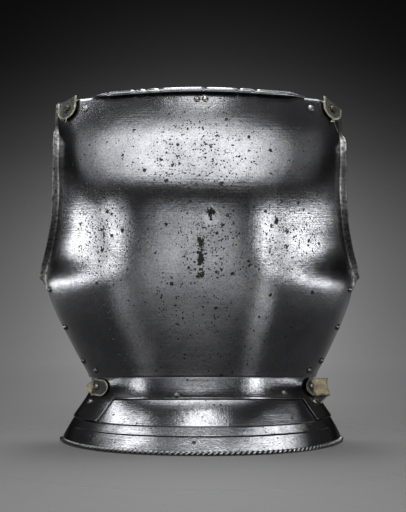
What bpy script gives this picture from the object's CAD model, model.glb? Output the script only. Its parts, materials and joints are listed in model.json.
"""Armour backplate, dressed: hammered and polished steel plates, a roped rim, rivets and old leather.

The plates are rebuilt as bent sheet on the same form as the solids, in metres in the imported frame:
+Z is up, the outer face of the back looks towards -Y, and the wearer's left is -X.
"""

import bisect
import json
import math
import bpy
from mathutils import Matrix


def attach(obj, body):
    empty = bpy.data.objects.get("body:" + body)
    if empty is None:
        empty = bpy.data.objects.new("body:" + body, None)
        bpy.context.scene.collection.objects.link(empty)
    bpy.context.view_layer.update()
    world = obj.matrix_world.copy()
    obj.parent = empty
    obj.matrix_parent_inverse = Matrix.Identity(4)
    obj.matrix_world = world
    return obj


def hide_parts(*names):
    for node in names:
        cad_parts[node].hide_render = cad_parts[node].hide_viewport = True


bl_info = {
    "name": "Armour backplate",
    "version": (1, 0, 0),
    "blender": (4, 5, 0),
    "location": "3D View > Sidebar > Backplate",
    "description": "Dresses the backplate's solids with hammered steel, a roped rim and worn leather",
    "category": "Object",
}

import bmesh
import bpy
from mathutils import Vector, noise

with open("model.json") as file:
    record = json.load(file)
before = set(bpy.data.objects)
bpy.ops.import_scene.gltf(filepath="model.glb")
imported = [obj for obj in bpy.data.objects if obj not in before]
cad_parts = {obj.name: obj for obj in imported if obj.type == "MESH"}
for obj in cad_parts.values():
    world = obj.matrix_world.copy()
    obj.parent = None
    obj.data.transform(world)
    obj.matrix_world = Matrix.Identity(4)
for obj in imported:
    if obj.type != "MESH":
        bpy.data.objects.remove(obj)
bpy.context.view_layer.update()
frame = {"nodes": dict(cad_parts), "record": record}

MM = 0.001


# Sizes and colours that a user would change

def length_property(name, description, millimetres):
    return bpy.props.FloatProperty(name=name, description=description, default=millimetres * MM,
                                   unit="LENGTH")


def colour_property(name, description, hex_value):
    return bpy.props.StringProperty(name=name, description=description, default=hex_value)


class BackplateSizes(bpy.types.PropertyGroup):
    plate_thickness: length_property("Plate thickness", "Thickness of the main plate's sheet", 1.8)
    lame_thickness: length_property("Lame thickness", "Thickness of the waist plate and the culet", 1.5)
    edge_rounding: length_property("Edge rounding", "Radius to which the sheets' filed edges are worn", 0.45)
    hammer_depth: length_property("Hammer depth", "How far the hammered surface swells in and out", 0.26)
    hammer_spacing: length_property("Hammer spacing", "Distance between the hammer's swellings", 34)
    rope_pitch: length_property("Rope pitch", "Distance between the filed grooves of the roped rim", 6.1)
    rope_depth: length_property("Rope depth", "Depth of the filed grooves of the roped rim", 1.3)
    leather_thickness: length_property("Leather thickness", "Thickness of the strap stubs", 3.0)


class BackplateColours(bpy.types.PropertyGroup):
    """Colours as sRGB hex values"""
    steel: colour_property("Steel", "Polished steel", "#8F9093")
    steel_dull: colour_property("Dulled steel", "Steel darkened by handling and old oil", "#636468")
    pit: colour_property("Pit", "Old corrosion in the pits", "#2E2E2D")
    leather: colour_property("Leather", "Grain side of the old strap leather", "#1C1D17")
    leather_fleck: colour_property("Leather fleck", "Powdery flecks where the grain has flaked", "#6F6F5E")
    leather_edge: colour_property("Leather edge", "Pale cut edge of the leather", "#73735F")
    buff: colour_property("Buff side", "Flesh side of the curled strap", "#94876A")
    floor: colour_property("Floor", "Pale floor close to the object", "#696969")
    floor_far: colour_property("Floor far off", "Floor far from the object", "#474747")


# The form of the back, in millimetres, as the solids have it

WAIST, ARMPIT, BLADE, NECK = 68.0, 189.0, 272.0, 400.0
HEM, HEM_DIP = 80.7, 6.6
BAND_HEIGHT, BAND_OVERLAP = 24.0, 12.0
CULET_OVERLAP, CULET_END_DROP, CULET_TUCK = 17.0, 11.5, 1.6
NECK_DROP, LEFT_CORNER_DROP, RIGHT_CORNER_DROP = 4.5, 2.0, 9.0
PLATE, LAME = 1.8, 1.5
BAND_DEPTH = PLATE + 0.3
CULET_DEPTH = BAND_DEPTH + LAME + 0.8
SPINE_HOLLOW, SPINE_WIDTH = 3.0, 34.0
FLAT_BACK_POWER = 1.1
FORWARD_SHIFT = 71.3365
BEAD_RADIUS, BEAD_HEIGHT = 2.7, 2.4
ARMHOLE_LIP, ARMHOLE_BEND, ARMHOLE_TURN = 5.2, 2.5, 84.0
LOBE_LENGTH, LOBE_LIP = 15.0, 3.0
ROLL_RADIUS, ROLL_HALF_LENGTH, ROLL_TURN = 2.4, 121.0, 240.0
ROLL_LIFT = 1.0
RIDGE_BOTTOM, RIDGE_TOP, RIDGE_RISE, RIDGE_SLOPE = 18.5, 28.5, 1.5, 1.1
BLADE_RIDGE, BLADE_RIDGE_WIDTH, BLADE_RIDGE_RISE = 270.0, 22.0, 0.9
LUG_BOTTOM = 29.6
NECK_EDGE_TURN = 56.0


def smooth_line(stations):
    """A natural cubic through (place, value) stations, as a function of place."""
    places = [place for place, value in stations]
    values = [value for place, value in stations]
    count = len(stations)
    gaps = [places[i + 1] - places[i] for i in range(count - 1)]
    slopes = [(values[i + 1] - values[i]) / gaps[i] for i in range(count - 1)]
    upper = [0.0] * count
    right = [0.0] * count
    for i in range(1, count - 1):
        pivot = 2 * (gaps[i - 1] + gaps[i]) - gaps[i - 1] * upper[i - 1]
        upper[i] = gaps[i] / pivot
        right[i] = (6 * (slopes[i] - slopes[i - 1]) - gaps[i - 1] * right[i - 1]) / pivot
    bends = [0.0] * count
    for i in range(count - 2, 0, -1):
        bends[i] = right[i] - upper[i] * bends[i + 1]

    def value_at(place):
        i = 0
        while i < count - 2 and place > places[i + 1]:
            i += 1
        step = gaps[i]
        back = (places[i + 1] - place) / step
        ahead = (place - places[i]) / step
        curve = (back ** 3 - back) * bends[i] + (ahead ** 3 - ahead) * bends[i + 1]
        return back * values[i] + ahead * values[i + 1] + curve * step * step / 6

    return value_at


def between(low, high, share):
    return low + (high - low) * share


def ramp(value, start=0.0, end=1.0):
    """0 before the start and 1 after the end, with a smooth rise between them."""
    share = min(1.0, max(0.0, (value - start) / (end - start)))
    return share * share * (3 - 2 * share)


def stations(spans):
    """(height, value) stations from spans of (low, high, low value, high value, shares)."""
    rows = []
    for low, high, low_value, high_value, shares in spans:
        for height_share, value_share in shares:
            rows.append((between(low, high, height_share), between(low_value, high_value, value_share)))
    return rows


half_width = smooth_line(stations([
    (0, WAIST, 169.5, 132.0, [(0, 0), (0.2, 0.17), (0.4, 0.38), (0.6, 0.63), (0.78, 0.85)]),
    (WAIST, ARMPIT, 132.0, 180.5, [(0, 0), (0.19, 0.19), (0.425, 0.50), (0.66, 0.78), (0.85, 0.95)]),
    (ARMPIT, NECK, 180.5, 161.5,
     [(0, 0), (0.10, 0.26), (0.19, 0.55), (0.33, 0.88), (0.55, 0.98), (0.80, 0.97), (1, 1)]),
]))
centre_depth = smooth_line(stations([
    (0, WAIST, 157.0, 90.5, [(0, 0), (0.18, 0.25), (0.4, 0.54), (0.6, 0.78), (0.78, 0.93)]),
    (WAIST, BLADE, 90.5, 124.0,
     [(0, 0), (0.13, 0.10), (0.25, 0.29), (0.40, 0.54), (0.60, 0.81), (0.83, 0.97)]),
    (BLADE, NECK, 124.0, 78.0, [(0, 0), (0.20, 0.025), (0.40, 0.17), (0.70, 0.50), (1, 1)]),
]))
side_depth = smooth_line(stations([
    (0, WAIST, 12.0, 10.0, [(0, 0)]),
    (WAIST, ARMPIT, 10.0, 0, [(0, 0), (0.36, 0.5), (0.7, 0.9), (1, 1)]),
    (ARMPIT, NECK, 0, 50.0, [(0.10, 0.14), (0.22, 0.50), (0.38, 0.84), (0.58, 1.0), (0.76, 0.90)]),
    (ARMPIT, NECK, 0, 22.0, [(1, 1)]),
]))
lean = smooth_line([(0, 2.6), (WAIST, 3.6), (ARMPIT, 0.0), (NECK, -1.5)])
edge_turn = smooth_line([(0, 80.0), (WAIST, 77.0), (ARMPIT, 75.0), (BLADE, 64.0), (NECK, NECK_EDGE_TURN)])


def form(height, across):
    """Point of the body form. across runs from -1 at the left side edge to 1 at the right one."""
    turn = math.radians(edge_turn(height))
    share = (1 - math.cos(across * turn)) / (1 - math.cos(turn))
    x = half_width(height) * math.sin(across * turn) / math.sin(turn)
    depth = between(centre_depth(height), side_depth(height), share ** FLAT_BACK_POWER)
    groove = SPINE_HOLLOW * ramp(height, WAIST, ARMPIT) * (1 - ramp(height, BLADE, NECK))
    depth -= groove * math.exp(-(x / SPINE_WIDTH) ** 2)
    return Vector((lean(height) + x, FORWARD_SHIFT - depth, height))


def form_frame(height, across):
    """Point, outward normal and upward direction of the body form."""
    rise = form(height + 0.45, across) - form(height - 0.45, across)
    sideways = form(height, across + 0.0025) - form(height, across - 0.0025)
    return form(height, across), sideways.cross(rise).normalized(), rise.normalized()


def layer_point(height, across, depth):
    """Point at a height on the layer that lies a depth inside the body form, with its normal."""
    asked = height
    for _ in range(4):
        spot, normal, _rise = form_frame(asked, across)
        spot = spot - normal * depth
        asked += height - spot.z
    return spot, normal


def across_at(height, reach, depth=0):
    """The share across at which a layer of the form passes a given distance from its middle line."""
    low, high = -1.0, 1.0
    for _ in range(26):
        middle = (low + high) / 2
        if layer_point(height, middle, depth)[0].x - lean(height) < reach:
            low = middle
        else:
            high = middle
    return (low + high) / 2


def hem_line(across):
    """Lower edge of the main plate."""
    return HEM - HEM_DIP * (1 - math.cos(across * math.pi / 2))


def top_line(across):
    """Upper edge of the main plate: neck, shoulders and their corners."""
    turn = math.radians(NECK_EDGE_TURN)
    reach = abs(math.sin(across * turn) / math.sin(turn))
    corner_drop = LEFT_CORNER_DROP if across < 0 else RIGHT_CORNER_DROP
    return NECK - NECK_DROP * ramp(reach, 0, 0.9) - corner_drop * ramp(reach, 0.84, 1)


def band_line(across):
    """Lower edge of the waist plate between its lugs."""
    return hem_line(across) - BAND_HEIGHT


def culet_line(across):
    """Upper edge of the culet."""
    return band_line(across) + CULET_OVERLAP - CULET_END_DROP * ramp(abs(across), 0.60, 0.77)


def culet_depth(height, across):
    """Depth of the culet's outer face, with its raised band and its drawn-in upper part."""
    rise = ramp(height, RIDGE_BOTTOM, RIDGE_BOTTOM + RIDGE_SLOPE)
    fall = 1 - ramp(height, RIDGE_TOP - RIDGE_SLOPE, RIDGE_TOP)
    fade = 1 - ramp(abs(across), 0.76, 0.88)
    share = min(1.0, max(0.0, (height - band_line(across)) / CULET_OVERLAP))
    return CULET_DEPTH - RIDGE_RISE * rise * fall * fade + CULET_TUCK * share * share


# Mesh helpers

def hammered(spot, normal):
    """The point moved in or out by the swellings that the hammer left, the same on every plate."""
    sizes = bpy.context.scene.backplate_sizes
    spacing = sizes.hammer_spacing / MM
    depth = sizes.hammer_depth / MM
    swell = noise.noise(spot / spacing) + 0.35 * noise.noise(spot * 2.7 / spacing + Vector((7, 3, 5)))
    ridge = BLADE_RIDGE_RISE * math.exp(-((spot.z - BLADE_RIDGE) / BLADE_RIDGE_WIDTH) ** 2)
    return spot + normal * (depth * (swell - 0.4) + ridge)


def sheet_grid(columns, rows, place, finish=None):
    """A bmesh grid whose corner at (column, row) goes where place says, in millimetres.

    Corners for which place gives None are taken away. finish gives the material's number of a face."""
    shape = bmesh.new()
    bmesh.ops.create_grid(shape, x_segments=columns - 1, y_segments=rows - 1, size=0.5)
    if finish:
        for face in shape.faces:
            middle = face.calc_center_median()
            face.material_index = finish(int((middle.x + 0.5) * (columns - 1)),
                                         int((middle.y + 0.5) * (rows - 1)))
    unwanted = []
    for corner in shape.verts:
        spot = place(round((corner.co.x + 0.5) * (columns - 1)), round((corner.co.y + 0.5) * (rows - 1)))
        if spot is None:
            unwanted.append(corner)
        else:
            corner.co = spot * MM
    bmesh.ops.delete(shape, geom=unwanted, context="VERTS")
    return shape


def face_outwards(shape, outside):
    """Turns an open sheet so that its middle face looks the way of outside."""
    shape.faces.ensure_lookup_table()
    shape.normal_update()
    total = sum((face.normal.dot(outside(face.calc_center_median())) * face.calc_area()
                 for face in shape.faces), 0.0)
    if total < 0:
        bmesh.ops.reverse_faces(shape, faces=shape.faces[:])


def away_from_wearer(spot):
    """Direction from the wearer's middle to a point of the plates."""
    return Vector((spot.x, spot.y - FORWARD_SHIFT * MM, 0)).normalized()


def finished_object(name, shape, materials, body, nodes=(), slot=None):
    """A mesh object at the origin, riding a body of the frame and standing for its nodes."""
    mesh = bpy.data.meshes.new(name)
    shape.to_mesh(mesh)
    shape.free()
    mesh.shade_smooth()
    piece = bpy.data.objects.new(name, mesh)
    bpy.context.scene.collection.objects.link(piece)
    for material in materials:
        mesh.materials.append(material)
    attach(piece, body)
    if nodes:
        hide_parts(*nodes)
    return piece


def add_thickness(piece, thickness, rounding, rim_material=0, inner_material=0):
    """Gives a sheet its thickness inwards and wears its edges round.

    The materials of the sheet's rim and inner face come so many places after that of its outer face."""
    wall = piece.modifiers.new("Sheet thickness", "SOLIDIFY")
    wall.thickness = thickness
    wall.offset = -1
    wall.use_even_offset = True
    wall.thickness_clamp = 0.6
    wall.material_offset = inner_material
    wall.material_offset_rim = rim_material
    worn = piece.modifiers.new("Worn edges", "BEVEL")
    worn.width = rounding
    worn.segments = 2
    worn.limit_method = "ANGLE"
    worn.angle_limit = math.radians(50)


# Materials

TEXTURE_PLACE = "ShaderNodeTexCoord"
NOISE = "ShaderNodeTexNoise"
CELLS = "ShaderNodeTexVoronoi"
MATHS = "ShaderNodeMath"
VECTOR_MATHS = "ShaderNodeVectorMath"
RAMP = "ShaderNodeValToRGB"
MIX = "ShaderNodeMixRGB"
MAPPING = "ShaderNodeMapping"
BUMP = "ShaderNodeBump"


def linear(hex_value):
    """An sRGB hex value as a linear colour with alpha."""
    parts = [int(hex_value[i:i + 2], 16) / 255 for i in (1, 3, 5)]
    return tuple(p / 12.92 if p <= 0.04045 else ((p + 0.055) / 1.055) ** 2.4 for p in parts) + (1.0,)


def add_node(tree, kind, inputs=(), output=0, stops=(), **settings):
    """Adds a node with its settings, links or sets its inputs and returns one of its outputs.

    stops are (position, colour) pairs of a colour ramp, where a colour is an sRGB hex value or a grey."""
    node = tree.nodes.new(kind)
    for name, value in settings.items():
        setattr(node, name, value)
    for name, value in dict(inputs).items():
        if isinstance(value, bpy.types.NodeSocket):
            tree.links.new(value, node.inputs[name])
        else:
            node.inputs[name].default_value = value
    for place, (position, colour) in enumerate(stops):
        ends = node.color_ramp.elements
        element = ends[place] if place < len(ends) else ends.new(position)
        element.position = position
        element.color = linear(colour) if isinstance(colour, str) else (colour, colour, colour, 1.0)
    return node.outputs[output] if node.outputs else None


def material_named(name):
    """The material of that name and, where it is new, its empty node tree."""
    if name in bpy.data.materials:
        return bpy.data.materials[name], None
    material = bpy.data.materials.new(name)
    material.use_nodes = True
    material.node_tree.nodes.clear()
    return material, material.node_tree


def finish_material(tree, **inputs):
    """Ends a material in a Principled shader with these inputs."""
    shader = add_node(tree, "ShaderNodeBsdfPrincipled", {name.replace("_", " "): value
                                                         for name, value in inputs.items()})
    add_node(tree, "ShaderNodeOutputMaterial", {"Surface": shader})


def colours():
    return bpy.context.scene.backplate_colours


# Patches of the back where corrosion pits lie thickest: middle, half widths and strength, in metres
PIT_PATCHES = [
    ((0.000, 0.325), (0.085, 0.065), 1.0),
    ((0.012, 0.232), (0.055, 0.055), 1.0),
    ((0.052, 0.205), (0.030, 0.022), 0.75),
    ((0.105, 0.242), (0.060, 0.055), 1.0),
    ((-0.115, 0.235), (0.055, 0.060), 1.0),
    ((-0.005, 0.165), (0.075, 0.045), 0.42),
    ((0.002, 0.198), (0.010, 0.012), 1.0),
]
# Scales of the small, middling and large pits, per metre, and how thick each lie
PIT_SCALES = [(430.0, 1.0), (300.0, 0.80), (165.0, 0.45)]
# The chain of deep pits down the spine, and the round scar above it with its height in widths
SPINE_PITS = [((0.0018, 0.2225), (0.0042, 0.024)), ((0.0022, 0.1970), (0.0052, 0.0052))]
SCAR, SCAR_HEIGHT = (0.0125, 0.2603), 1 / 0.72


def steel():
    """Hammered iron, ground and polished by hand, then handled, oiled and pitted over centuries.

    The eye gets soft broken highlights, fine streaks of grit, dull clouds and black pits."""
    material, tree = material_named("polished armour steel")
    if not tree:
        return material
    place = add_node(tree, TEXTURE_PLACE, output="Object")

    def distance_from(x, z, half_x=1.0, half_z=1.0):
        """Distance from a spot of the back, as shares of its half widths."""
        spot = add_node(tree, MAPPING, {"Vector": place, "Location": (-x / half_x, 0.0, -z / half_z),
                                        "Scale": (1 / half_x, 0.0, 1 / half_z)})
        return add_node(tree, VECTOR_MATHS, {0: spot}, output="Value", operation="LENGTH")

    # Dull clouds 30 to 60 mm across, and mottling 3 to 6 mm across
    clouds = add_node(tree, NOISE, {"Vector": place, "Scale": 21.0, "Detail": 7.0, "Roughness": 0.66})
    dull = add_node(tree, RAMP, {"Fac": clouds}, stops=[(0.25, 0.0), (0.80, 1.0)])
    mottle = add_node(tree, NOISE, {"Vector": place, "Scale": 240.0, "Detail": 6.0, "Roughness": 0.68})

    # Grit streaks run round the body, and others slant: real ones are 0.05 mm wide, drawn 0.6 mm wide
    # so that they show
    level_place = add_node(tree, MAPPING, {"Vector": place, "Scale": (16.0, 16.0, 760.0)})
    streaks = add_node(tree, NOISE, {"Vector": level_place, "Scale": 1.0, "Detail": 3.0})
    slant_place = add_node(tree, MAPPING, {"Vector": place, "Rotation": (0.0, 0.7, 0.2),
                                           "Scale": (640.0, 60.0, 20.0)})
    slants = add_node(tree, NOISE, {"Vector": slant_place, "Scale": 1.0, "Detail": 2.0})

    # How thick the pits lie, from the patches
    density = 0.10
    for (x, z), half_widths, strength in PIT_PATCHES:
        near = add_node(tree, RAMP, {"Fac": distance_from(x, z, *half_widths)},
                        stops=[(0.25, strength), (1.0, 0.0)])
        density = add_node(tree, MATHS, {0: density, 1: near}, operation="MAXIMUM")
    depth = add_node(tree, "ShaderNodeSeparateXYZ", {0: place}, output="Y")
    behind = add_node(tree, MATHS, {0: depth, 1: 0.0}, operation="LESS_THAN")

    # Ragged round pits 0.8 to 3.5 mm across, gathered in knots about 12 mm across
    knots = add_node(tree, NOISE, {"Vector": place, "Scale": 85.0, "Detail": 3.0, "Roughness": 0.6})
    knots = add_node(tree, RAMP, {"Fac": knots}, stops=[(0.38, 0.25), (0.60, 1.0)])
    crowding = add_node(tree, MATHS, {0: density, 1: knots}, operation="MULTIPLY")
    lumps = add_node(tree, NOISE, {"Vector": place, "Scale": 190.0, "Detail": 3.0})
    fine = add_node(tree, NOISE, {"Vector": place, "Scale": 520.0, "Detail": 4.0, "Roughness": 0.6})
    pits = 0.0
    for scale, share in PIT_SCALES:
        cell = add_node(tree, CELLS, {"Vector": place, "Scale": scale}, feature="F1").node
        chance = add_node(tree, "ShaderNodeSeparateColor", {0: cell.outputs["Color"]}).node
        far = add_node(tree, MATHS, {0: fine, 1: 0.9, 2: cell.outputs["Distance"]},
                       operation="MULTIPLY_ADD")
        reach = add_node(tree, MATHS, {0: chance.outputs[1], 1: 0.26, 2: 0.57}, operation="MULTIPLY_ADD")
        pit = add_node(tree, MATHS, {0: far, 1: reach}, operation="LESS_THAN")
        most = add_node(tree, MATHS, {0: crowding, 1: share}, operation="MULTIPLY")
        kept = add_node(tree, MATHS, {0: chance.outputs[0], 1: most}, operation="LESS_THAN")
        pit = add_node(tree, MATHS, {0: pit, 1: kept}, operation="MULTIPLY")
        pits = add_node(tree, MATHS, {0: pits, 1: pit}, operation="MAXIMUM")

    # The chain of deep pits down the spine, broken up by lumps 5 mm across
    for (x, z), half_widths in SPINE_PITS:
        far = distance_from(x, z, *half_widths)
        far = add_node(tree, MATHS, {0: fine, 1: 3.0, 2: far}, operation="MULTIPLY_ADD")
        far = add_node(tree, MATHS, {0: lumps, 1: 4.0, 2: far}, operation="MULTIPLY_ADD")
        chain = add_node(tree, MATHS, {0: far, 1: 4.2}, operation="LESS_THAN")
        pits = add_node(tree, MATHS, {0: pits, 1: chain}, operation="MAXIMUM")

    # The round scar between the shoulder blades: a dark speckled core in a dull pale patch
    far = distance_from(*SCAR, half_z=SCAR_HEIGHT)
    far = add_node(tree, MATHS, {0: lumps, 1: 0.014, 2: far}, operation="MULTIPLY_ADD")
    far = add_node(tree, MATHS, {0: far, 1: 58.0}, operation="MULTIPLY")
    ring = add_node(tree, RAMP, {"Fac": far}, stops=[(0.45, 1.0), (0.98, 0.0)])
    far = distance_from(SCAR[0], SCAR[1] + 0.003)
    far = add_node(tree, MATHS, {0: fine, 1: 0.022, 2: far}, operation="MULTIPLY_ADD")
    core = add_node(tree, MATHS, {0: far, 1: 0.0155}, operation="LESS_THAN")
    pits = add_node(tree, MATHS, {0: pits, 1: core}, operation="MAXIMUM")
    pits = add_node(tree, MATHS, {0: pits, 1: behind}, operation="MULTIPLY")
    ring = add_node(tree, MATHS, {0: ring, 1: behind}, operation="MULTIPLY")

    base = add_node(tree, MIX, {"Fac": dull, "Color1": linear(colours().steel),
                                "Color2": linear(colours().steel_dull)})
    speckle = add_node(tree, RAMP, {"Fac": fine}, stops=[(0.30, 0.66), (0.60, 1.0)])
    base = add_node(tree, MIX, {"Fac": 1.0, "Color1": base, "Color2": speckle}, blend_type="MULTIPLY")
    base = add_node(tree, MIX, {"Fac": ring, "Color1": base, "Color2": linear("#C6C7CA")})
    base = add_node(tree, MIX, {"Fac": pits, "Color1": base, "Color2": linear(colours().pit)})

    rough = 0.12
    for part, share in ((dull, 0.08), (mottle, 0.06), (pits, 0.4), (ring, 0.3)):
        rough = add_node(tree, MATHS, {0: part, 1: share, 2: rough}, operation="MULTIPLY_ADD")
    height = mottle
    for part, share in ((streaks, 0.4), (fine, 0.2), (slants, 0.25), (pits, -1.5), (ring, 0.8)):
        height = add_node(tree, MATHS, {0: part, 1: share, 2: height}, operation="MULTIPLY_ADD")
    normal = add_node(tree, BUMP, {"Height": height, "Strength": 0.6, "Distance": 0.00024})
    finish_material(tree, Base_Color=base, Metallic=1.0, Roughness=rough, Normal=normal)
    return material


# Iron that is left less polished: bright and dark colour, roughness, and scale of its specks per metre
IRONS = {
    # Rivets of soft iron, filed to domes and worn bright, with dark oil in the file marks
    "worn rivet steel": ("#85857F", "#3C3B37", 0.17, 420.0),
    # Turned edges of the armholes: rubbed by straps and arms, never polished out, closely pitted
    "pitted edge iron": ("#858584", "#2B2B28", 0.28, 260.0),
    # The roped rim: bright where hands and cloths have rubbed the strands, with file marks that scatter
    "filed rope steel": ("#979797", "#4A4A48", 0.24, 500.0),
    # Inside of the plates: left from the hammer, dark with scale, wax and thin brown rust
    "unpolished inner iron": ("#6E6C69", "#3B332B", 0.36, 110.0),
    # Washers and burrs cut from thin iron sheet, left dark and slightly rusted
    "dull washer iron": ("#6A6862", "#41372C", 0.38, 300.0),
    # Strap rivets that were never polished: forge scale and old dressing, nearly matt
    "blackened rivet iron": ("#45443D", "#1E1D18", 0.45, 520.0),
}


def iron(name):
    """Iron worn bright on top of its grain and dark in it: the eye gets small broken glints."""
    material, tree = material_named(name)
    if not tree:
        return material
    bright, dark, roughness, speck_scale = IRONS[name]
    place = add_node(tree, TEXTURE_PLACE, output="Object")
    specks = add_node(tree, NOISE, {"Vector": place, "Scale": speck_scale, "Detail": 5.0, "Roughness": 0.62})
    dull = add_node(tree, RAMP, {"Fac": specks}, stops=[(0.42, 0.0), (0.68, 1.0)])
    base = add_node(tree, MIX, {"Fac": dull, "Color1": linear(bright), "Color2": linear(dark)})
    rough = add_node(tree, MATHS, {0: dull, 1: 0.22, 2: roughness}, operation="MULTIPLY_ADD")
    normal = add_node(tree, BUMP, {"Height": specks, "Strength": 0.6, "Distance": 0.00025})
    finish_material(tree, Base_Color=base, Metallic=1.0, Roughness=rough, Normal=normal)
    return material


def strap_leather(name, face, fleck, fleck_from):
    """Vegetable-tanned strap leather, dried out: the grain cracks and flakes to powdery flecks.

    The eye gets a matt skin with grain cells about 1.1 mm wide and flecks of 2 to 4 mm."""
    material, tree = material_named(name)
    if not tree:
        return material
    place = add_node(tree, TEXTURE_PLACE, output="Object")
    grain = add_node(tree, CELLS, {"Vector": place, "Scale": 900.0}, feature="F1")
    flakes = add_node(tree, NOISE, {"Vector": place, "Scale": 330.0, "Detail": 6.0, "Roughness": 0.7})
    share = add_node(tree, RAMP, {"Fac": flakes}, stops=[(fleck_from, 0.0), (fleck_from + 0.12, 1.0)])
    stain = add_node(tree, NOISE, {"Vector": place, "Scale": 95.0, "Detail": 3.0})
    stained = add_node(tree, RAMP, {"Fac": stain}, stops=[(0.44, 1.0), (0.70, 0.30)])
    base = add_node(tree, MIX, {"Fac": share, "Color1": linear(face), "Color2": linear(fleck)})
    base = add_node(tree, MIX, {"Fac": 1.0, "Color1": base, "Color2": stained}, blend_type="MULTIPLY")
    rough = add_node(tree, MATHS, {0: share, 1: 0.25, 2: 0.62}, operation="MULTIPLY_ADD")
    height = add_node(tree, MATHS, {0: grain, 1: 0.4, 2: flakes}, operation="MULTIPLY_ADD")
    normal = add_node(tree, BUMP, {"Height": height, "Strength": 0.9, "Distance": 0.0008})
    finish_material(tree, Base_Color=base, Roughness=rough, Normal=normal)
    return material


def dark_leather():
    return strap_leather("flaking strap leather", colours().leather, colours().leather_fleck, 0.56)


def cut_leather():
    return strap_leather("pale cut leather", colours().leather_edge, "#A3A292", 0.52)


def buff_leather():
    return strap_leather("buff flesh side", colours().buff, "#B3A684", 0.50)


# Plates

# Notches knocked into the neck roll, as places across and half widths, and their share of its radius
ROLL_NICKS = [(-127, 1.6), (-103, 2.0), (-72, 1.6), (-60, 1.4), (-45, 1.2), (6, 1.3), (43, 1.5), (62, 2.2)]
NICK_DEPTH = 0.34
ROLL_END = ROLL_HALF_LENGTH + 0.5
# How far the left armhole is drawn in below the shoulder, and how far the flanges are dented
DRAWN_IN = 3.6
FLANGE_DENT = 0.4

FLANGE_COLUMNS, BEND_COLUMNS = 9, 6
PLATE_COLUMNS = 171
LOWER_ROWS, UPPER_ROWS, ROLL_ROWS = 40, 62, 14


def flange_shape(height, side):
    """Turn in degrees and lip in millimetres of the turned side edge at a height, or None."""
    if height >= ARMPIT - 0.01:
        share = (height - ARMPIT) / (top_line(side) - ARMPIT)
        return between(ARMHOLE_TURN, 2.0, ramp(share, 0.77, 0.87)), ARMHOLE_LIP
    share = (ARMPIT - height) / LOBE_LENGTH
    if 0.15 < share <= 1.0:
        return between(56.0, 30.0, ramp(share)), LOBE_LIP * (1 - share * share + 0.02)
    return None


def turned_point(spot, outward, normal, radius, angle, straight):
    """Point of a turned edge: a bend of a radius away from the plate, then a straight stretch."""
    bend = outward * (radius * math.sin(angle)) + normal * (radius * (1 - math.cos(angle)))
    lip = outward * math.cos(angle) + normal * math.sin(angle)
    return spot + bend + lip * straight


def main_plate_place(column, row):
    """Where a corner of the main plate's grid goes: plate, armhole flanges, lobes and neck roll."""
    middle_columns = PLATE_COLUMNS - 1
    across = between(-1, 1, (column - FLANGE_COLUMNS) / middle_columns)
    beyond = max(0, FLANGE_COLUMNS - column, column - FLANGE_COLUMNS - middle_columns)
    side = -1 if column < FLANGE_COLUMNS + middle_columns / 2 else 1
    across = min(1.0, max(-1.0, across))
    top = top_line(across) + ROLL_LIFT * (1 - ramp(abs(across), 0.55, 0.75))
    if row <= LOWER_ROWS:
        height = between(hem_line(across), ARMPIT, row / LOWER_ROWS)
    else:
        height = between(ARMPIT, top, min(1, (row - LOWER_ROWS) / UPPER_ROWS))
    rolled = row - LOWER_ROWS - UPPER_ROWS

    if beyond and rolled > 0:
        return None
    spot, normal, rise = form_frame(height, across)
    if side < 0:
        share = (height - ARMPIT) / (top - ARMPIT)
        drawn_in = ramp(share, 0.0, 0.45) * (1 - ramp(share, 0.78, 0.90))
        spot.x += DRAWN_IN * drawn_in * ramp(abs(across), 0.75, 1.0)
    if beyond:
        shape = flange_shape(height, side)
        if shape is None:
            return None
        turn, lip = shape
        outward = normal.cross(rise).normalized()
        if outward.x * side < 0:
            outward = -outward
        angle = math.radians(turn) * min(1, beyond / BEND_COLUMNS)
        straight = lip * max(0, beyond - BEND_COLUMNS) / (FLANGE_COLUMNS - BEND_COLUMNS)
        dented = (noise.noise(Vector((height / 7, side * 3, 0)))
                  + 0.5 * noise.noise(Vector((height / 3, side, 4))))
        place = turned_point(spot, outward, normal, ARMHOLE_BEND, angle, straight)
        return hammered(place, normal) + (normal + outward) * FLANGE_DENT * dented * beyond / FLANGE_COLUMNS
    if rolled > 0:
        reach = abs(spot.x - lean(height))
        if reach > ROLL_END:
            return None
        taper = ramp(reach, ROLL_HALF_LENGTH * 0.82, ROLL_END)
        radius = ROLL_RADIUS * between(1, 0.42, taper)
        turn = between(ROLL_TURN, 150.0, taper)
        step = 0.004
        ahead = form(top_line(across + step), across + step) - form(top_line(across - step), across - step)
        outward = normal.cross(ahead).normalized()
        if outward.z < 0:
            outward = -outward
        nick = sum(math.exp(-((spot.x - at) / width) ** 2) for at, width in ROLL_NICKS)
        radius *= 1 - NICK_DEPTH * min(1, nick)
        angle = math.radians(turn) * rolled / ROLL_ROWS
        return hammered(turned_point(spot, outward, normal, radius, angle, 0), normal)
    return hammered(spot, normal)


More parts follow.
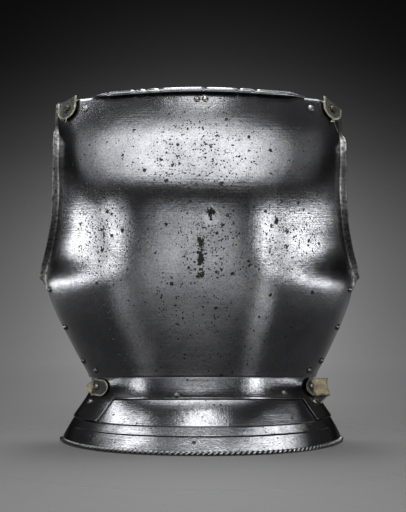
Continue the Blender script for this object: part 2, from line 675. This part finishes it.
class BACKPLATE_OT_main_plate(bpy.types.Operator):
    """Main plate as one bent sheet with turned armholes and a rolled neck"""
    bl_idname = "backplate.main_plate"
    bl_label = "Main plate"

    def execute(self, context):
        sizes = context.scene.backplate_sizes
        columns = PLATE_COLUMNS + 2 * FLANGE_COLUMNS
        rows = LOWER_ROWS + UPPER_ROWS + ROLL_ROWS + 1
        last = columns - FLANGE_COLUMNS - 1
        edge, inside = iron("pitted edge iron"), iron("unpolished inner iron")
        materials = [steel(), edge, inside, edge, steel()]

        def finish(column, row):
            # The neck is rolled over outwards, so there the sheet's inner face shows and is polished
            if row >= LOWER_ROWS + UPPER_ROWS:
                return 2
            return 1 if row > LOWER_ROWS / 2 and not FLANGE_COLUMNS - 2 <= column < last + 2 else 0

        shape = sheet_grid(columns, rows, main_plate_place, finish)
        face_outwards(shape, away_from_wearer)
        plate = finished_object("main_plate", shape, materials, "back", ["back_plate"], "plate_steel")
        add_thickness(plate, sizes.plate_thickness, sizes.edge_rounding, inner_material=2)
        return {"FINISHED"}


WAIST_ROWS = 19
# How much flatter the waist band and the culet are from top to bottom than the form
BAND_BULGE, CULET_BULGE = 1.3, 1.0


def lug_columns():
    """Shares across of the waist plate's grid, with columns exactly at the corners of its lugs."""
    band = HEM - BAND_HEIGHT
    corners = [-1.0, across_at(LUG_BOTTOM, -120.0, BAND_DEPTH), across_at(band, -101.0, BAND_DEPTH),
               across_at(band, 114.0, BAND_DEPTH), across_at(LUG_BOTTOM, 132.0, BAND_DEPTH), 1.0]
    counts = [10, 9, 70, 9, 10]
    shares = []
    for low, high, count in zip(corners, corners[1:], counts):
        shares += [between(low, high, i / count) for i in range(count)]
    return shares + [1.0], corners


class BACKPLATE_OT_waist_plate(bpy.types.Operator):
    """Waist plate: a band with a lug at each end that reaches down over the culet"""
    bl_idname = "backplate.waist_plate"
    bl_label = "Waist plate"

    def execute(self, context):
        sizes = context.scene.backplate_sizes
        shares, corners = lug_columns()

        def lower_line(across):
            lug_left, band_left, band_right, lug_right = corners[1:5]
            if across <= lug_left or across >= lug_right:
                return LUG_BOTTOM
            if across < band_left:
                return between(LUG_BOTTOM, band_line(band_left), (across - lug_left) / (band_left - lug_left))
            if across > band_right:
                return between(band_line(band_right), LUG_BOTTOM,
                               (across - band_right) / (lug_right - band_right))
            return band_line(across)

        def place(column, row):
            across = shares[column]
            height = between(lower_line(across), hem_line(across) + BAND_OVERLAP, row / (WAIST_ROWS - 1))
            spot, normal = layer_point(height, across, BAND_DEPTH)
            share = min(1.0, max(0.0, (hem_line(across) - height) / BAND_HEIGHT))
            bulge = 4 * BAND_BULGE * share * (1 - share) * (1 - ramp(abs(across), 0.62, 0.80))
            return hammered(spot, normal) + normal * bulge

        shape = sheet_grid(len(shares), WAIST_ROWS, place)
        face_outwards(shape, away_from_wearer)
        plate = finished_object("waist_band", shape, [steel(), iron("unpolished inner iron")], "back",
                                ["waist_plate"], "plate_steel")
        add_thickness(plate, sizes.lame_thickness, sizes.edge_rounding, inner_material=1)
        return {"FINISHED"}


CULET_COLUMNS, LAP_ROWS = 151, 14
# The culet's ends stay this much clear of the pivots' burrs inside
PIVOT_CLEARANCE = 0.3


def culet_rows():
    """Heights of the culet's rows below the lap, close together at the raised band's two edges."""
    low, high, slope = RIDGE_BOTTOM, RIDGE_TOP, RIDGE_SLOPE
    heights = [between(BEAD_HEIGHT, low - slope, i / 7) for i in range(8)]
    heights += [between(low - slope / 2, low + 1.5 * slope, i / 8) for i in range(9)]
    heights += [between(low + 2 * slope, high - 2 * slope, i / 3) for i in range(4)]
    heights += [between(high - 1.5 * slope, high + slope / 2, i / 8) for i in range(9)]
    return heights


class BACKPLATE_OT_culet(bpy.types.Operator):
    """Flared culet with its raised band"""
    bl_idname = "backplate.culet"
    bl_label = "Culet"

    def execute(self, context):
        sizes = context.scene.backplate_sizes
        heights = culet_rows()

        def place(column, row):
            across = between(-1, 1, column / (CULET_COLUMNS - 1))
            if row < len(heights):
                height = heights[row]
            else:
                share = (row - len(heights) + 1) / LAP_ROWS
                height = between(heights[-1], culet_line(across), share)
            spot, normal = layer_point(height, across, culet_depth(height, across))
            share = min(1.0, max(0.0, (height - RIDGE_TOP) / (HEM - BAND_HEIGHT - RIDGE_TOP)))
            bulge = 4 * CULET_BULGE * share * (1 - share) * (1 - ramp(abs(across), 0.60, 0.74))
            bulge += PIVOT_CLEARANCE * ramp(abs(across), 0.72, 0.84)
            return hammered(spot, normal) + normal * bulge

        shape = sheet_grid(CULET_COLUMNS, len(heights) + LAP_ROWS, place)
        face_outwards(shape, away_from_wearer)
        plate = finished_object("culet_skirt", shape, [steel(), iron("unpolished inner iron")], "culet",
                                ["culet_plate"], "plate_steel")
        add_thickness(plate, sizes.lame_thickness, sizes.edge_rounding, inner_material=1)
        return {"FINISHED"}


ROPE_SIDES, ROPE_SAMPLES, RINGS_PER_STRAND = 24, 401, 10
# Lengths of the plain ball at the left end and of the rounding of both ends, and the ball's swelling
BALL, ROUNDING, BALL_RISE = 6.0, 2.0, 0.9
# Grooves deeper than this share are dark
DARK_GROOVE = 0.74


class BACKPLATE_OT_roped_rim(bpy.types.Operator):
    """Thick turned rim of the culet, filed to look like a rope"""
    bl_idname = "backplate.roped_rim"
    bl_label = "Roped rim"

    def execute(self, context):
        sizes = context.scene.backplate_sizes
        pitch = sizes.rope_pitch / MM
        depth = sizes.rope_depth / MM
        middle = CULET_DEPTH + LAME / 2
        path = [layer_point(BEAD_HEIGHT, between(-1, 1, i / (ROPE_SAMPLES - 1)), middle)[0]
                for i in range(ROPE_SAMPLES)]
        run = [0.0]
        for first, second in zip(path, path[1:]):
            run.append(run[-1] + (second - first).length)
        length = run[-1]
        rings = int(length / pitch * RINGS_PER_STRAND)

        def on_path(distance):
            distance = min(length, max(0.0, distance))
            low = min(ROPE_SAMPLES - 2, bisect.bisect_right(run, distance) - 1)
            share = (distance - run[low]) / (run[low + 1] - run[low])
            return path[low].lerp(path[low + 1], share)

        def groove_at(distance, angle):
            """1 in the middle of a groove between two strands and 0 on top of a strand or off the rope."""
            strand = distance / pitch - angle / math.pi
            roped = ramp(distance, 18, 22) * (1 - ramp(distance, length - 9, length - 5))
            return roped * (0.5 + 0.5 * math.cos(2 * math.pi * strand)) ** 0.7

        def finish(column, row):
            groove = groove_at(length * (column + 0.5) / rings, 2 * math.pi * (row + 0.5) / ROPE_SIDES)
            return 1 if groove > DARK_GROOVE else 0

        def place(column, row):
            distance = length * column / rings
            spot = on_path(distance)
            tangent = (on_path(distance + 0.5) - on_path(distance - 0.5)).normalized()
            outward = tangent.cross(Vector((0, 0, 1))).normalized()
            angle = 2 * math.pi * row / ROPE_SIDES
            radius = BEAD_RADIUS + 0.15 + 0.08 * noise.noise(spot / 9) - depth * groove_at(distance, angle)
            if distance < BALL:
                radius += BALL_RISE * math.cos(distance / BALL * math.pi / 2) * (1 - ramp(distance, 4, BALL))
            if distance < ROUNDING or distance > length - ROUNDING:
                edge = min(distance, length - distance) / ROUNDING
                radius *= math.sqrt(max(0.0, 1 - (1 - edge) ** 2)) * 0.98 + 0.02
            point = spot + outward * radius * math.cos(angle) + Vector((0, 0, 1)) * radius * math.sin(angle)
            point.z = max(0.0, point.z)
            return point

        shape = sheet_grid(rings + 1, ROPE_SIDES + 1, place, finish)
        bmesh.ops.remove_doubles(shape, verts=shape.verts[:], dist=0.00002)
        bmesh.ops.holes_fill(shape, edges=[edge for edge in shape.edges if edge.is_boundary], sides=0)
        bmesh.ops.recalc_face_normals(shape, faces=shape.faces[:])
        finished_object("roped_rim", shape, [iron("filed rope steel"), iron("blackened rivet iron")],
                        "culet", ["culet_plate"], "plate_steel")
        return {"FINISHED"}


# Rivets, washers and burrs keep their solids' shapes

class BACKPLATE_OT_rivets(bpy.types.Operator):
    """Finishes of the rivets, washers and burrs"""
    bl_idname = "backplate.rivets"
    bl_label = "Rivets and washers"

    def execute(self, context):
        for name, node in frame["nodes"].items():
            if "shoulder_strap_" in name and ("rivet" in name or "washer" in name):
                finish = "blackened rivet iron"
            elif "washer" in name or "burr" in name:
                finish = "dull washer iron"
            elif "rivet" in name:
                finish = "worn rivet steel"
            else:
                continue
            node.data.materials.clear()
            node.data.materials.append(iron(finish))
        return {"FINISHED"}


# Leather

def joint_named(name):
    for joint in frame["record"]["behaviour"]["joints"]:
        if joint["name"] == name:
            return joint
    raise RuntimeError("the frame has no joint %s" % name)


def pale_border(shape, outline, width):
    """Gives the faces within a width of an outline, both in millimetres, the second material."""
    for face in shape.faces:
        middle = face.calc_center_median() / MM
        if min((middle - spot).length for spot in outline) < width:
            face.material_index = 1


SHOULDER_HALF_WIDTH = 13.5
SHOULDER_BORDER, WAIST_BORDER = 1.9, 1.5
STRAP_GRID = (41, 49)
SHOULDER_STRAPS = [
    # side, word, length above the rivet at the left and right edge, and outward splay in degrees
    (-1, "left", 10.0, 13.5, -18.0),
    (1, "right", 12.5, 5.0, 21.0),
]


class BACKPLATE_OT_shoulder_straps(bpy.types.Operator):
    """Stubs of the two shoulder straps"""
    bl_idname = "backplate.shoulder_straps"
    bl_label = "Shoulder straps"

    def execute(self, context):
        sizes = context.scene.backplate_sizes
        thick = sizes.leather_thickness / MM
        half = SHOULDER_HALF_WIDTH
        columns, rows = STRAP_GRID
        for side, word, left_length, right_length, splay in SHOULDER_STRAPS:
            joint = joint_named(word + "_strap_swivel")
            normal = Vector(joint["axis"]).normalized()
            middle = Vector(joint["pos_m"]) / MM
            rise = (Vector((0, 0, 1)) - normal * normal.z).normalized()
            along = rise * math.cos(math.radians(splay)) + rise.cross(normal) * math.sin(math.radians(splay))
            aside = along.cross(normal).normalized()
            outline = []

            def place(column, row):
                sideways = between(-1, 1, column / (columns - 1))
                far = between(left_length, right_length, (sideways + 1) / 2)
                far += 0.9 * noise.noise(Vector((sideways * 4, side * 5, 1)))
                low = between(-half * 0.995, far, row / (rows - 1))
                width = math.sqrt(max(0.0, half * half - low * low)) if low < 0 else half
                if low < 0 and row:
                    low = -half * math.cos(math.pi / 2 * min(1, (low + half) / half))
                    width = math.sqrt(max(0.0, half * half - low * low))
                width = max(width, half * 0.12) * (1 + 0.015 * noise.noise(Vector((low / 4, side, sideways))))
                lump = 0.35 * noise.noise(Vector((sideways * 3, low / 5, side * 2)))
                lift = thick / 2 + lump - 0.25
                spot = middle + aside * (sideways * width) + along * low + normal * lift
                if row == 0 or column in (0, columns - 1):
                    outline.append(spot)
                return spot

            shape = sheet_grid(columns, rows, place)
            face_outwards(shape, lambda spot: normal)
            pale_border(shape, outline, SHOULDER_BORDER)
            strap = finished_object("shoulder_strap_leather_" + word, shape, [dark_leather(), cut_leather()],
                                    "strap_" + word, ["shoulder_strap_" + word], "dark_leather")
            add_thickness(strap, (thick - 0.3) * MM, 0.6 * MM, rim_material=1)
        return {"FINISHED"}


WAIST_STRAPS = {
    # side, rivet's place across, width, length behind the rivet, free length, bend radius, bend in degrees,
    # distance past the rivet from which the flesh side shows, and drop of the flap that hangs below
    "left": (-1, 119.5, 20.0, 21.0, 19.0, 9.0, 24.0, 9.0, 0.0),
    "right": (1, 123.0, 19.0, 12.0, 27.0, 9.0, 52.0, 1.5, 10.0),
}
WAIST_STRAP_COLUMNS, WAIST_STRAP_ROWS, FLAP_ROWS = 45, 29, 9
WAIST_STRAP_HEIGHT, SEAT_RADIUS = 64.4, 5.0


class BACKPLATE_OT_waist_straps(bpy.types.Operator):
    """Stubs of the two waist straps, pressed to the plate and curling away from it"""
    bl_idname = "backplate.waist_straps"
    bl_label = "Waist straps"

    def execute(self, context):
        sizes = context.scene.backplate_sizes
        thick = sizes.leather_thickness / MM
        columns, rows = WAIST_STRAP_COLUMNS, WAIST_STRAP_ROWS
        rivet_height = WAIST_STRAP_HEIGHT
        under = BAND_DEPTH - 0.3
        for word, (side, reach, width, back, free, radius, bend_angle, bare, drop) in WAIST_STRAPS.items():
            rivet_across = across_at(rivet_height, side * reach, BAND_DEPTH)
            step = 0.0035
            stretch = (layer_point(rivet_height, rivet_across + step, under)[0]
                       - layer_point(rivet_height, rivet_across - step, under)[0]).length / (2 * step)
            bend = math.radians(bend_angle)
            flap_rows = FLAP_ROWS if drop else 0
            half = width / 2
            outline = []

            def place(column, row):
                travel = between(-back, free, column / (columns - 1))
                half_here = half
                if travel < half - back:
                    inside = half - back - travel
                    half_here = math.sqrt(max(0.02 * half * half, half * half - inside * inside))
                upright = between(-half_here, half_here, max(0, row - flap_rows) / (rows - 1))
                tuck = 0.0
                if row < flap_rows:
                    # The lower edge has curled under and hangs as a flap that narrows to a point
                    hang = 1 - row / flap_rows
                    upright -= drop * hang * (0.35 + 0.65 * ramp(travel, -back, free * 0.3))
                    travel = between(travel, free * 0.28, 0.93 * hang)
                    tuck = 2.6 * ramp(hang, 0, 0.35)
                if side < 0:
                    upright *= 1 - 0.6 * ramp(travel, 3, free)
                    fray = ramp(travel, free - 6, free)
                    travel += fray * 2.2 * noise.noise(Vector((upright / 2.5, 3, 1)))
                seated = min(travel, SEAT_RADIUS)
                across = rivet_across + side * seated / stretch
                point, facing = layer_point(rivet_height + upright, across, under)
                if travel > seated:
                    ahead = Vector((0, 0, side)).cross(facing).normalized()
                    level_out = Vector((facing.x, facing.y, 0)).normalized()
                    turned = min(bend, (travel - seated) / radius)
                    straight = travel - seated - turned * radius
                    point = turned_point(point, ahead, level_out, radius, turned, straight)
                    facing = level_out * math.cos(turned) - ahead * math.sin(turned)
                lump = 0.3 * noise.noise(Vector((travel / 5, upright / 5, side * 9)))
                spot = point + facing * (thick - 0.15 + lump - tuck)
                if row in (flap_rows, rows + flap_rows - 1) or column in (0, columns - 1):
                    outline.append(spot)
                return spot

            def finish(column, row):
                ragged = 2 * noise.noise(Vector((0.3 * row, 2, side)))
                travel = between(-back, free, column / (columns - 1)) + ragged
                flesh_side = row >= flap_rows and travel > bare
                return 0 if flesh_side == (side > 0) else 2

            shape = sheet_grid(columns, rows + flap_rows, place, finish)
            face_outwards(shape, away_from_wearer)
            pale_border(shape, outline, WAIST_BORDER)
            # The part's leather is dark on the left and buff on the right
            first, second, slot = dark_leather(), buff_leather(), "dark_leather"
            if side > 0:
                first, second, slot = second, first, "buff_leather"
            strap = finished_object("waist_strap_leather_" + word, shape, [first, cut_leather(), second],
                                    "back", ["waist_strap_" + word], slot)
            add_thickness(strap, (thick - 0.45) * MM, 0.5 * MM, rim_material=1)
        return {"FINISHED"}


# Floor, light and camera

def area_light(name, place, target, width, height, radiance, spin=0.0):
    """A softbox at a place that faces a target: radiance in its middle, fading out to its edges."""
    lamp = bpy.data.lights.new(name, "AREA")
    lamp.shape = "RECTANGLE"
    lamp.size = width
    lamp.size_y = height
    lamp.energy = radiance * math.pi * width * height
    lamp.use_nodes = True
    tree = lamp.node_tree
    tree.nodes.clear()
    spot = add_node(tree, "ShaderNodeNewGeometry", output="Parametric")
    spot = add_node(tree, VECTOR_MATHS, {0: spot, 1: (0.5, 0.5, 0.0)}, operation="SUBTRACT")
    far = add_node(tree, VECTOR_MATHS, {0: spot}, output="Value", operation="LENGTH")
    glow = add_node(tree, RAMP, {"Fac": far}, stops=[(0.12, 1.0), (0.5, 0.0)])
    shine = add_node(tree, "ShaderNodeEmission", {"Strength": glow})
    add_node(tree, "ShaderNodeOutputLight", {"Surface": shine})
    light = bpy.data.objects.new(name, lamp)
    light.location = place
    light.rotation_euler = (Vector(place) - Vector(target)).to_track_quat("Z", "Y").to_euler()
    light.rotation_euler.rotate_axis("Z", math.radians(spin))
    light.visible_camera = False
    bpy.context.scene.collection.objects.link(light)


class BACKPLATE_OT_stage(bpy.types.Operator):
    """Pale floor, soft studio light and the camera"""
    bl_idname = "backplate.stage"
    bl_label = "Floor, light and camera"

    def execute(self, context):
        shape = bmesh.new()
        bmesh.ops.create_circle(shape, cap_ends=True, segments=96, radius=FLOOR_RADIUS)
        mesh = bpy.data.meshes.new("floor")
        shape.to_mesh(mesh)
        shape.free()
        floor = bpy.data.objects.new("floor", mesh)
        context.scene.collection.objects.link(floor)
        material, tree = material_named("pale studio floor")
        place = add_node(tree, TEXTURE_PLACE, output="Object")
        far = add_node(tree, VECTOR_MATHS, {0: place}, output="Value", operation="LENGTH")
        share = add_node(tree, MATHS, {0: far, 1: FLOOR_RADIUS}, operation="DIVIDE")
        aside = add_node(tree, MAPPING, {"Vector": place, "Scale": (1.0, 0.25, 0.0)})
        aside = add_node(tree, VECTOR_MATHS, {0: aside}, output="Value", operation="LENGTH")
        base = add_node(tree, RAMP, {"Fac": aside},
                        stops=[(0.06, colours().floor), (0.42, colours().floor_far)])
        # The floor fades out of sight, so that it and the studio's backdrop run into each other
        seen = add_node(tree, RAMP, {"Fac": share},
                        stops=[(0.05, 1.0), (0.11, 0.65), (0.2, 0.25), (0.45, 0.0)])
        finish_material(tree, Base_Color=base, Roughness=0.9, Alpha=seen, Specular_IOR_Level=0.1)
        mesh.materials.append(material)
        # The steel mirrors the dark studio and the light sheets, not the bare floor
        floor.visible_glossy = False

        world = bpy.data.worlds.new("studio")
        context.scene.world = world
        world.use_nodes = True
        tree = world.node_tree
        tree.nodes.clear()
        direction = add_node(tree, TEXTURE_PLACE, output="Generated")
        up = add_node(tree, "ShaderNodeSeparateXYZ", {0: direction}, output="Z")
        lifted = add_node(tree, MATHS, {0: up, 1: 0.5}, operation="ADD")
        grey = add_node(tree, RAMP, {"Fac": lifted}, stops=BACKDROP)
        # The backdrop glows a little behind the object, two degrees below the level of the camera
        middle = Vector((0, math.cos(math.radians(2)), -math.sin(math.radians(2))))
        near = add_node(tree, VECTOR_MATHS, {0: direction, 1: middle}, output="Value",
                        operation="DOT_PRODUCT")
        near = add_node(tree, MATHS, {0: near, 1: 0.0}, operation="MAXIMUM")
        glow = add_node(tree, MATHS, {0: near, 1: 180.0}, operation="POWER")
        glow = add_node(tree, MATHS, {0: glow, 1: 0.24}, operation="MULTIPLY")
        grey = add_node(tree, MIX, {"Fac": 1.0, "Color1": grey, "Color2": glow}, blend_type="ADD")
        shine = add_node(tree, "ShaderNodeBackground", {"Color": grey, "Strength": 1.0})
        add_node(tree, "ShaderNodeOutputWorld", {"Surface": shine})

        for softbox in SOFTBOXES:
            area_light(*softbox)

        lens = bpy.data.cameras.new("photo camera")
        lens.lens = LENS
        lens.sensor_width = 36.0
        lens.clip_end = 50.0
        camera = bpy.data.objects.new("photo camera", lens)
        camera.location = CAMERA_PLACE
        camera.rotation_euler = (math.radians(90), 0, 0)
        context.scene.collection.objects.link(camera)
        context.scene.camera = camera
        context.scene.view_settings.view_transform = "Standard"
        return {"FINISHED"}


# The photo's camera, in metres and millimetres
CAMERA_PLACE = (0.004, -1.686, 0.2159)
LENS = 105.0
FLOOR_RADIUS = 3.0

# Backdrop greys by the height of the direction of sight, 0.5 being level
BACKDROP = [(0.0, "#565656"), (0.16, "#666666"), (0.26, "#7A7A7A"), (0.32, "#8A8A8A"), (0.35, "#888888"),
            (0.40, "#6C6C6C"), (0.44, "#5E5E5E"), (0.47, "#525252"), (0.50, "#494949"), (0.535, "#3A3A3A"),
            (0.57, "#252525"), (0.60, "#161616"), (0.63, "#0A0A0A"), (0.67, "#080808"), (0.70, "#202020"),
            (0.80, "#383838"), (1.0, "#404040")]

# Softboxes: name, place, the point faced, width, height, radiance and turn about the way they face.
# The floor sheets and strips lie on the floor and throw light up.
SOFTBOXES = [
    ("key softbox", (-0.13, -1.20, 1.40), (0, 0, 0.24), 5.0, 1.45, 4.4),
    ("key apron", (-0.15, -1.55, 1.06), (0, 0, 0.24), 6.0, 0.60, 1.1),
    ("top strip", (0.0, 0.38, 1.75), (0, 0.38, 0.2), 0.54, 2.1, 22.0),
    ("high left strip", (-0.95, 0.20, 1.45), (0, -0.1, 0.1), 0.42, 1.4, 11.0),
    ("left fill", (-1.70, -0.60, 1.10), (-0.1, 0, 0.25), 1.5, 1.3, 0.9),
    ("right fill", (1.70, -0.60, 1.10), (0.1, 0, 0.25), 1.5, 1.3, 0.4),
    ("high right strip", (0.66, 0.20, 1.45), (0, -0.1, 0.1), 0.28, 1.5, 11.0),
    ("front softbox", (-0.1, -1.95, 0.10), (0, 0, 0.13), 1.9, 0.32, 2.3),
    ("left upright strip", (-1.06, -0.75, 0.12), (-0.06, -0.06, 0.12), 0.44, 0.30, 9.0),
    ("right upright strip", (0.85, -0.97, 0.12), (0.06, -0.06, 0.12), 0.46, 0.30, 9.5),
    ("back softbox", (0.3, 1.6, 1.4), (0, 0, 0.2), 1.6, 1.2, 1.6),
    ("front floor sheet", (-0.10, -1.10, 0.004), (-0.10, -1.10, 1), 1.3, 1.9, 1.7),
    ("left floor sheet", (-2.05, 0.35, 0.004), (-2.05, 0.35, 1), 2.4, 3.7, 9.7),
    ("right floor sheet", (2.05, -0.45, 0.004), (2.05, -0.45, 1), 2.2, 3.7, 9.7),
    ("left floor strip", (-0.48, -0.34, 0.006), (-0.48, -0.34, 1), 0.17, 0.95, 1.0, 56.0),
    ("right floor strip", (0.40, -0.46, 0.006), (0.40, -0.46, 1), 0.13, 0.95, 2.0, -40.0),
]


class BACKPLATE_PT_panel(bpy.types.Panel):
    bl_idname = "BACKPLATE_PT_panel"
    bl_label = "Backplate"
    bl_space_type = "VIEW_3D"
    bl_region_type = "UI"
    bl_category = "Backplate"

    def draw(self, context):
        for group in (context.scene.backplate_sizes, context.scene.backplate_colours):
            box = self.layout.box()
            for name in group.__annotations__:
                box.prop(group, name)
        for operator in OPERATORS:
            self.layout.operator(operator.bl_idname)


OPERATORS = [
    BACKPLATE_OT_main_plate, BACKPLATE_OT_waist_plate, BACKPLATE_OT_culet, BACKPLATE_OT_roped_rim,
    BACKPLATE_OT_rivets, BACKPLATE_OT_shoulder_straps, BACKPLATE_OT_waist_straps, BACKPLATE_OT_stage,
]
CLASSES = [BackplateSizes, BackplateColours] + OPERATORS + [BACKPLATE_PT_panel]


def register():
    for item in CLASSES:
        bpy.utils.register_class(item)
    bpy.types.Scene.backplate_sizes = bpy.props.PointerProperty(type=BackplateSizes)
    bpy.types.Scene.backplate_colours = bpy.props.PointerProperty(type=BackplateColours)


def unregister():
    del bpy.types.Scene.backplate_colours
    del bpy.types.Scene.backplate_sizes
    for item in reversed(CLASSES):
        bpy.utils.unregister_class(item)


def main():
    register()
    for operator in OPERATORS:
        group, name = operator.bl_idname.split(".")
        getattr(getattr(bpy.ops, group), name)()


if __name__ == "__main__":
    main()
